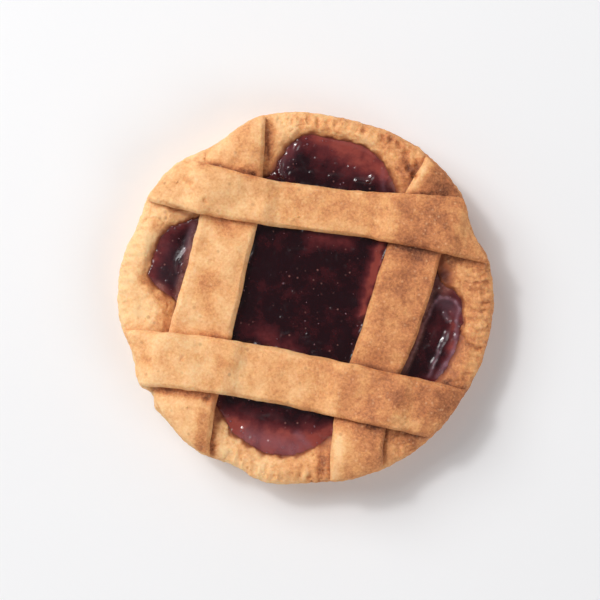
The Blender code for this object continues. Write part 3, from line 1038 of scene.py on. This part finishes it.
def scatter_tree(name, material):
    """Scatters small lumpy grains over a mesh, as densely as its attribute "litter" says."""
    tree, given = start_tree(name, *CRUMBS, "Seed")
    litter = add_node(tree, "GeometryNodeInputNamedAttribute", {"Name": "litter"}, 0, data_type="FLOAT")
    density = add_node(tree, "ShaderNodeMath", {0: litter, 1: given["Density"]}, 0, operation="MULTIPLY")
    spread = add_node(
        tree,
        "GeometryNodeDistributePointsOnFaces",
        {"Mesh": given["Geometry"], "Density": density, "Seed": given["Seed"]},
        "Points",
    )
    turn = add_node(
        tree,
        "FunctionNodeRandomValue",
        {0: (0.0, 0.0, 0.0), 1: (math.tau, math.tau, math.tau), "Seed": given["Seed"]},
        0,
        data_type="FLOAT_VECTOR",
    )
    stretch = add_node(
        tree,
        "FunctionNodeRandomValue",
        {0: (0.6, 0.7, 0.5), 1: (1.0, 1.0, 0.9)},
        0,
        data_type="FLOAT_VECTOR",
    )
    chance = add_node(tree, "FunctionNodeRandomValue", {2: 0.0, 3: 1.0}, 1, data_type="FLOAT")
    rare = add_node(tree, "ShaderNodeMath", {0: chance, 1: 2.5}, 0, operation="POWER")
    size = add_node(
        tree,
        "ShaderNodeMapRange",
        {"Value": rare, "To Min": given["Least size"], "To Max": given["Greatest size"]},
        0,
    )
    scale = add_node(tree, "ShaderNodeVectorMath", {0: stretch, "Scale": size}, 0, operation="SCALE")
    placed = add_node(
        tree,
        "GeometryNodeInstanceOnPoints",
        {"Points": spread, "Instance": lumpy_grain(tree), "Rotation": turn, "Scale": scale},
        0,
    )
    real = add_node(tree, "GeometryNodeRealizeInstances", {0: placed}, 0)
    finished = add_node(tree, "GeometryNodeSetMaterial", {"Geometry": real, "Material": material}, 0)
    add_node(tree, "NodeGroupOutput", {"Geometry": finished})
    return tree


def wavering(places):
    """Two uneven waves across the plan, about one high, that bend what would else look ruled."""
    x, y = places[:, :2].T / MM
    return np.stack(
        (
            np.sin(1.05 * y + 0.40 * x + 1.0) + 0.3 * np.sin(2.3 * y + 0.9 * x),
            np.sin(0.95 * x - 0.50 * y + 2.0) + 0.3 * np.sin(2.1 * x - 1.2 * y + 0.7),
        ),
        axis=1,
    )


def strokes_at(places, strokes, sharpness=2.0, waver=0.0):
    """What the strokes add up to at each place, each one fading out from its middle line.

    It is down to a third at its radius, the steeper there the greater the sharpness. A waver
    above zero bends the strokes by up to about that many mm.
    """
    total = np.zeros(len(places))
    flat = places[:, :2] / MM + 0.8 * waver * wavering(places)
    for x1, y1, x2, y2, radius, amount in strokes:
        start = np.array((x1, y1))
        run = np.array((x2 - x1, y2 - y1))
        share = np.clip((flat - start) @ run / max(run @ run, 1.0e-9), 0.0, 1.0)
        away = np.hypot(*(flat - start - share[:, None] * run).T) / radius
        total += amount * np.exp(-(away**sharpness))
    return total


def base_brown_and_side_shade(places):
    """How brown each place is at least, with painted shade that grows from the lit left side to the
    right.
    """
    return BROWN_LEAST + SIDE_SHADE_RISE * smoothstep(LIT_SIDE, SHADED_SIDE, places[:, 0])


def tine_marks():
    """A fork's marks on the open rim: strokes that point at the middle, no two alike."""
    draw = np.random.default_rng(TINE_SEED)
    marks = []
    for bearing in np.arange(TINE_START, 360.0, TINE_STEP):
        drift, inset, length, depth, chance = draw.uniform(TINE_LEAST, TINE_MOST)
        clear = 0.0
        for middle, half_width, strength in OPEN_RIM:
            away = abs((bearing - middle + 180.0) % 360.0 - 180.0)
            clear = max(clear, strength * (away < half_width))
        if clear and chance > TINE_MISSED:
            angle = math.radians(bearing + drift)
            outward = np.array((math.cos(angle), math.sin(angle)))
            start = outward * (RIM_RADIUS / MM - inset)
            end = start - outward * length
            marks.append((*start, *end, TINE_RADIUS, clear * depth))
    return marks


def press(obj, marks):
    """Presses marks down into an object's upper faces, and keeps how deep each place went, in mm."""
    places = places_of(obj.data)
    depth = strokes_at(places, marks, waver=0.4) * smoothstep(0.2, 0.6, normals_of(obj.data)[:, 2])
    places[:, 2] -= depth * MM
    move_to(obj.data, places)
    store(obj.data, "pressed", depth)


def distance_to(obj, others, reach):
    """How far each vertex lies from the nearest of the other pieces, up to the reach."""
    graph = bpy.context.evaluated_depsgraph_get()
    places = places_of(obj.data)
    away = np.full(len(places), reach)
    for other in others:
        tree = BVHTree.FromObject(other, graph)
        theirs = places_of(other.data)
        low, high = theirs.min(axis=0) - reach, theirs.max(axis=0) + reach
        for i in np.flatnonzero(((places > low) & (places < high)).all(axis=1)):
            found = tree.find_nearest(Vector(places[i]), away[i])
            if found[0] is not None:
                away[i] = found[3]
    return away


def covered_by(places, others):
    """Which places have one of the other pieces straight above them."""
    graph = bpy.context.evaluated_depsgraph_get()
    covered = np.zeros(len(places), bool)
    flat = places[:, :2]
    for other in others:
        tree = BVHTree.FromObject(other, graph)
        theirs = places_of(other.data)[:, :2]
        inside = ((flat > theirs.min(axis=0)) & (flat < theirs.max(axis=0))).all(axis=1)
        for i in np.flatnonzero(inside & ~covered):
            covered[i] = tree.ray_cast(Vector(places[i]), Vector((0.0, 0.0, 1.0)))[0] is not None
    return covered


def edge_distance(places, is_level):
    """How far each place on a strip lies, in plan, from the strip's nearer long edge."""
    along, across = (places[:, 0], places[:, 1]) if is_level else (places[:, 1], places[:, 0])
    station = 1.0 * MM
    bins = np.floor((along - along.min()) / station).astype(int)
    low = np.full(bins.max() + 1, np.inf)
    high = np.full(bins.max() + 1, -np.inf)
    np.minimum.at(low, bins, across)
    np.maximum.at(high, bins, across)
    centres = along.min() + station * (np.arange(len(low)) + 0.5)
    return np.minimum(across - np.interp(along, centres, low), np.interp(along, centres, high) - across)


def wear_rim(shell):
    """Softens the solid's fork marks and edges, more on the left, as baking did."""
    places = places_of(shell.data)
    turn = np.arctan2(places[:, 1], places[:, 0]) - math.radians(WORN_LEAST_AT)
    worn = shell.modifiers.new("Fork marks baked out", "SMOOTH")
    worn.factor = 0.5
    worn.iterations = WORN_ROUNDS
    worn.vertex_group = add_weights(shell, "worn", WORN - WORN_SWING * np.cos(turn)).name
    settle_modifiers(shell)
    shell.vertex_groups.clear()


def lean_over_jam(shell):
    """Lets the dough of the shell's inner lip lean in over the jam."""
    places = places_of(shell.data)
    outward = outward_of(places)
    faces_in = smoothstep(0.2, 0.6, -(normals_of(shell.data)[:, :2] * outward).sum(axis=1))
    by_jam = faces_in * smoothstep(JAM_LEVEL - 4.0 * MM, JAM_LEVEL - 2.0 * MM, places[:, 2])
    leaning = (LEAST_LEAN + strokes_at(places, LEANING)) * MM
    places[:, :2] -= outward * (leaning * by_jam)[:, None]
    move_to(shell.data, places)


def shape_shell(relief):
    """The tart shell: a crumbly rim, dented by a fork, over a side that took the tin's surface."""
    shell = fine_copy("shell", "crust", SHELL_CELL, rounds=3)
    places = places_of(shell.data)
    in_cup = (places[:, 2] < HIDDEN_LEVEL) & (radius_of(places) < CUP_RADIUS)
    thin_out(shell, in_cup | (places[:, 2] < UNDERSIDE))
    wear_rim(shell)
    lean_over_jam(shell)
    press(shell, [*tine_marks(), *DENTED])
    return run_tree(shell, relief, SHELL_RELIEF, SHELL_SEED)


def shape_strip(node, relief, seed):
    """One lattice strip, rolled, cut and draped, with rounded edges, bedded on what it lies on."""
    strip = fine_copy(f"lattice_{node.split('_')[1]}", node, STRIP_CELL, rounds=14)
    places = places_of(strip.data)
    places[:, 2] -= BEDDING * smoothstep(-0.2, -0.8, normals_of(strip.data)[:, 2])
    move_to(strip.data, places)
    press(strip, DENTED)
    return run_tree(strip, relief, STRIP_RELIEF, seed)


def shape_jam(shell, strips):
    """The jam: drawn up against the pastry, lower in the open, with ridges in its dried skin."""
    jam = fine_copy("jam", "guava_filling", JAM_CELL, rounds=2)
    places = places_of(jam.data)
    thin_out(jam, (places[:, 2] < HIDDEN_LEVEL) | covered_by(places, strips))

    places = places_of(jam.data)
    is_top = places[:, 2] > JAM_LEVEL - 2.5 * MM
    from_shell = distance_to(jam, [shell], JAM_EDGE)
    from_strips = distance_to(jam, strips, JAM_EDGE)
    from_pastry = np.minimum(from_shell, from_strips)
    by_shell = np.exp(-from_shell / (1.0 * MM))
    by_strips = np.exp(-from_strips / (1.0 * MM))
    creeping = CREEP * by_shell * (places[:, 2] > HIDDEN_LEVEL)
    places[:, :2] += outward_of(places) * creeping[:, None]

    waves = wavering(places)
    rise = RISE_BY_SHELL * by_shell * (1.0 + 0.7 * waves[:, 0])
    rise += RISE_BY_STRIPS * by_strips * np.maximum(1.0 + 0.8 * waves[:, 1], 0.0)
    rise += RISE_IN_OPEN * smoothstep(3.0 * MM, JAM_EDGE, from_pastry)
    rise += RISE_AT_WRINKLE * strokes_at(places, WRINKLED_AND_SHEEN, waver=0.16)
    rise += strokes_at(places, RIDGED, waver=0.15) + strokes_at(places, BLISTERED)
    places[:, 2] += is_top * rise * MM
    move_to(jam.data, places)
    colour_jam(jam, strips, is_top, from_shell, from_pastry)
    return run_tree(jam, jam_relief_tree(), JAM_RELIEF, JAM_SEED)


def colour_jam(jam, strips, is_top, from_shell, from_pastry):
    """How deep the jam is, lightened where a sheen is painted, its dried skin with painted sheen, the
    crumbs mixed into it, and where beads boiled up.
    """
    mesh = jam.data
    places = places_of(mesh)
    depth = 0.62 + 0.38 * smoothstep(0.5 * MM, 4.5 * MM, from_shell)
    # Lighter where the jam is thin, and where a sheen is painted
    depth -= 0.30 * np.exp(-from_shell / (1.3 * MM)) + strokes_at(places, THIN_JAM_AND_SHEEN, waver=0.5)
    store(mesh, "depth", np.clip(depth, 0.0, 1.0))
    # Dried skin, partly a painted sheen
    store(mesh, "skin", np.clip(strokes_at(places, WRINKLED_AND_SHEEN, waver=0.16), 0.0, 0.8))

    upright = [strip for strip, is_level in zip(strips, STRIPS.values()) if not is_level]
    by_upright = smoothstep(3.0 * MM, 0.8 * MM, distance_to(jam, upright, 4.0 * MM))
    sideways = np.abs(places[:, 0] - STRIP_LEAN * places[:, 1])
    crumby = 0.80 * by_upright * smoothstep(CRUMBS_FROM, CRUMBS_FULL, sideways)
    store(mesh, "crumby", np.clip(crumby + strokes_at(places, CRUMBY, waver=0.5), 0.0, 0.90))

    by_pastry = smoothstep(3.2 * MM, 1.2 * MM, from_pastry)
    grainy = np.clip(strokes_at(places, GRAINY_JAM), 0.0, 1.0)
    store(mesh, "litter", is_top * (0.02 + by_pastry * (0.10 + 1.3 * grainy)))


def stain_of(places, from_jam, reach):
    """Where jam soaked into the pastry or smeared on it: near the jam and little above it."""
    near = np.exp(-from_jam / (reach * (1.0 + 0.45 * wavering(places)[:, 1])))
    low = smoothstep(JAM_LEVEL + 2.4 * MM, JAM_LEVEL + 0.4 * MM, places[:, 2])
    return np.clip(near * low, 0.0, 1.0)


def colour_shell(shell, strips, jam):
    """Browning and painted shade, juice and crumbs on the shell: the rim is darkest in dents, which is
    painted shade, and by the strips, partly browning and partly painted shade.
    """
    mesh = shell.data
    places = places_of(mesh)
    up = normals_of(mesh)[:, 2]
    gap = np.exp(-distance_to(shell, strips, 5.0 * MM) / (1.3 * MM))
    from_jam = distance_to(shell, [jam], 6.0 * MM)
    is_side = radius_of(places) > SIDE_RADIUS
    is_high = smoothstep(RIM_HEIGHT - 6.0 * MM, RIM_HEIGHT - 3.0 * MM, places[:, 2])
    adds = SHELL_BROWNING_AND_SHADE
    # Painted shade: darker from the lit left side towards the right, and along the rim strokes that lie
    # in valleys by the strips
    brown_and_shade = base_brown_and_side_shade(places) + adds["all over"] + is_high * strokes_at(places, BROWNED_AND_SHADED_RIM)
    brown_and_shade += is_side * (adds["side"] + adds["steep side"] * smoothstep(0.55, 0.1, up))
    brown_and_shade += adds["underside"] * smoothstep(-0.6, -0.9, up)
    # Painted shade: darker in low places, and in dents and tine marks
    brown_and_shade += adds["painted shade in low places"] * np.clip(floats_of(mesh, "low"), -0.4, 0.9)
    brown_and_shade += adds["pressed"] * floats_of(mesh, "pressed")
    # Partly browning, partly painted shade: darker by the strips
    brown_and_shade += adds["browning and painted shade by a strip"] * gap * (up > 0.2)
    brown_and_shade += adds["by the jam"] * np.exp(-from_jam / (1.7 * MM)) * (up > 0.0)
    store(mesh, "brown_and_shade", np.clip(brown_and_shade, 0.0, adds["most"]))

    smeared = strokes_at(places, STAINED, waver=0.4) * is_high * (up > 0.0)
    soaked = np.maximum(0.92 * stain_of(places, from_jam, 1.3 * MM), smeared)
    store(mesh, "stain", np.clip(soaked, 0.0, 1.0))
    is_top = smoothstep(0.5, 0.8, up) * (places[:, 2] > JAM_LEVEL)
    store(mesh, "litter", is_top * (0.35 + 1.5 * gap))


def colour_strip(strip, is_level, others, jam):
    """Browning and painted shade, juice and crumbs on a strip, which is paler along its cut edges."""
    mesh = strip.data
    places = places_of(mesh)
    up = normals_of(mesh)[:, 2]
    gap = np.exp(-distance_to(strip, others, 6.0 * MM) / (1.5 * MM))
    from_jam = distance_to(strip, [jam], 4.0 * MM)
    flat = smoothstep(0.6 * MM, 2.8 * MM, edge_distance(places, is_level))
    adds = STRIP_BROWNING_AND_SHADE
    # Painted shade: darker from the lit left side towards the right
    brown_and_shade = base_brown_and_side_shade(places) + adds["cut edge"] * (1.0 - flat)
    # Browning, and in some strokes painted shade or painted light
    brown_and_shade += strokes_at(places, BROWNED_AND_SHADED_LATTICE, sharpness=2.6) * (0.7 + 0.3 * flat)
    # Painted shade: darker in low places and in dents
    brown_and_shade += adds["painted shade in low places"] * np.clip(floats_of(mesh, "low"), -0.3, 0.9)
    brown_and_shade += adds["pressed"] * floats_of(mesh, "pressed")
    # Partly browning, partly painted shade: darker by the other pieces; painted shade on steep sides
    brown_and_shade += adds["browning and painted shade by a piece"] * gap + adds["steep"] * smoothstep(0.5, 0.0, up)
    store(mesh, "brown_and_shade", np.clip(brown_and_shade, 0.0, adds["most"]))

    soaked = 0.75 * stain_of(places, from_jam, 0.9 * MM)
    store(mesh, "stain", np.maximum(soaked, 0.7 * strokes_at(places, STAINED, waver=0.4)))
    store(mesh, "litter", smoothstep(0.5, 0.8, up) * (0.10 + 1.2 * gap))


def scatter_over(name, sources, tree, values):
    """One piece of all the grains that a tree scatters over these pieces."""
    gathered = bmesh.new()
    for number, source in enumerate(sources):
        grains = link(bpy.data.objects.new(name, source.data.copy()))
        run_tree(grains, tree, values, float(number))
        gathered.from_mesh(grains.data)
        bpy.data.objects.remove(grains, do_unlink=True)
    mesh = bpy.data.meshes.new(name)
    gathered.to_mesh(mesh)
    gathered.free()
    return link(bpy.data.objects.new(name, mesh))


def finish_piece(obj, slot, material, *nodes):
    """Gives a piece its one material, and puts it on the body in its CAD nodes' place; its slot is not
    used.
    """
    obj.data.materials.clear()
    obj.data.materials.append(material)
    obj.data.shade_smooth()
    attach(obj, BODY)
    if nodes:
        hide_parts(*nodes)


def make_floor():
    mesh = bpy.data.meshes.new("floor")
    shape = bmesh.new()
    bmesh.ops.create_grid(shape, x_segments=1, y_segments=1, size=3.0)
    shape.to_mesh(mesh)
    shape.free()
    floor = link(bpy.data.objects.new("floor", mesh))
    mesh.materials.append(pale_board_material())


def add_lamp(name, place, width, power):
    """A round lamp that points at the tart."""
    data = bpy.data.lights.new(name, "AREA")
    data.shape = "DISK"
    data.size = width
    data.energy = power
    lamp = link(bpy.data.objects.new(name, data))
    lamp.location = place
    lamp.rotation_mode = "QUATERNION"
    lamp.rotation_quaternion = (-Vector(place)).to_track_quat("-Z", "Y")


def light_studio():
    """A broad key from the upper left of the picture with a small lamp by it, and a pale room.

    The room is darker overhead, as it is under a camera, so that level jam looks deep.
    """
    for lamp in LAMPS:
        add_lamp(*lamp)
    world = bpy.data.worlds.new("studio")
    bpy.context.scene.world = world
    world.use_nodes = True
    tree = world.node_tree
    direction = add_node(tree, "ShaderNodeTexCoord", out="Generated")
    up = add_node(tree, "ShaderNodeSeparateXYZ", {0: direction}, "Z")
    strength = add_node(
        tree,
        "ShaderNodeMapRange",
        {"Value": up, "From Min": 0.80, "From Max": 0.99, "To Min": ROOM_AROUND, "To Max": ROOM_OVERHEAD},
        0,
        interpolation_type="SMOOTHSTEP",
    )
    sky = tree.nodes["Background"]
    sky.inputs["Color"].default_value = linear(ROOM_COLOUR)
    tree.links.new(strength, sky.inputs["Strength"])


def set_camera():
    data = bpy.data.cameras.new("camera")
    data.sensor_width = SENSOR_WIDTH
    data.lens = SENSOR_WIDTH * (CAMERA_HEIGHT - RIM_HEIGHT) / PICTURE_WIDTH
    data.dof.use_dof = False
    camera = link(bpy.data.objects.new("camera", data))
    camera.location = (*CAMERA_CENTRE, CAMERA_HEIGHT)
    bpy.context.scene.camera = camera
    bpy.context.scene.view_settings.view_transform = "Standard"


def main():
    shell_crust = shortcrust_material("Baked shortcrust, pressed shell")
    strip_crust = shortcrust_material("Baked shortcrust, rolled strip")
    guava_jam = guava_jam_material()
    relief = pastry_relief_tree()
    shell = shape_shell(relief)
    lattice = [shape_strip(node, relief, FIRST_STRIP_SEED + i) for i, node in enumerate(STRIPS)]
    jam = shape_jam(shell, lattice)
    colour_shell(shell, lattice, jam)
    for strip, is_level in zip(lattice, STRIPS.values()):
        others = [shell, *(other for other in lattice if other is not strip)]
        colour_strip(strip, is_level, others, jam)

    crumb_tree = scatter_tree("Pastry crumbs", shell_crust)
    crumbs = scatter_over("crumbs", [shell, *lattice], crumb_tree, CRUMBS)
    beads = scatter_over("jam_beads", [jam], scatter_tree("Jam beads", guava_jam), JAM_BEADS)
    # A painted sheen: the beads are made paler, as if they caught the light
    store(beads.data, "skin", np.full(len(beads.data.vertices), BEAD_SKIN_AND_SHEEN))
    finish_piece(shell, "baked_crust", shell_crust, "crust")
    for strip, node in zip(lattice, STRIPS):
        finish_piece(strip, "baked_strip", strip_crust, node)
    finish_piece(jam, "guava_jam", guava_jam, "guava_filling")
    finish_piece(crumbs, "baked_crust", shell_crust)
    finish_piece(beads, "guava_jam", guava_jam)
    make_floor()
    light_studio()
    set_camera()


main()
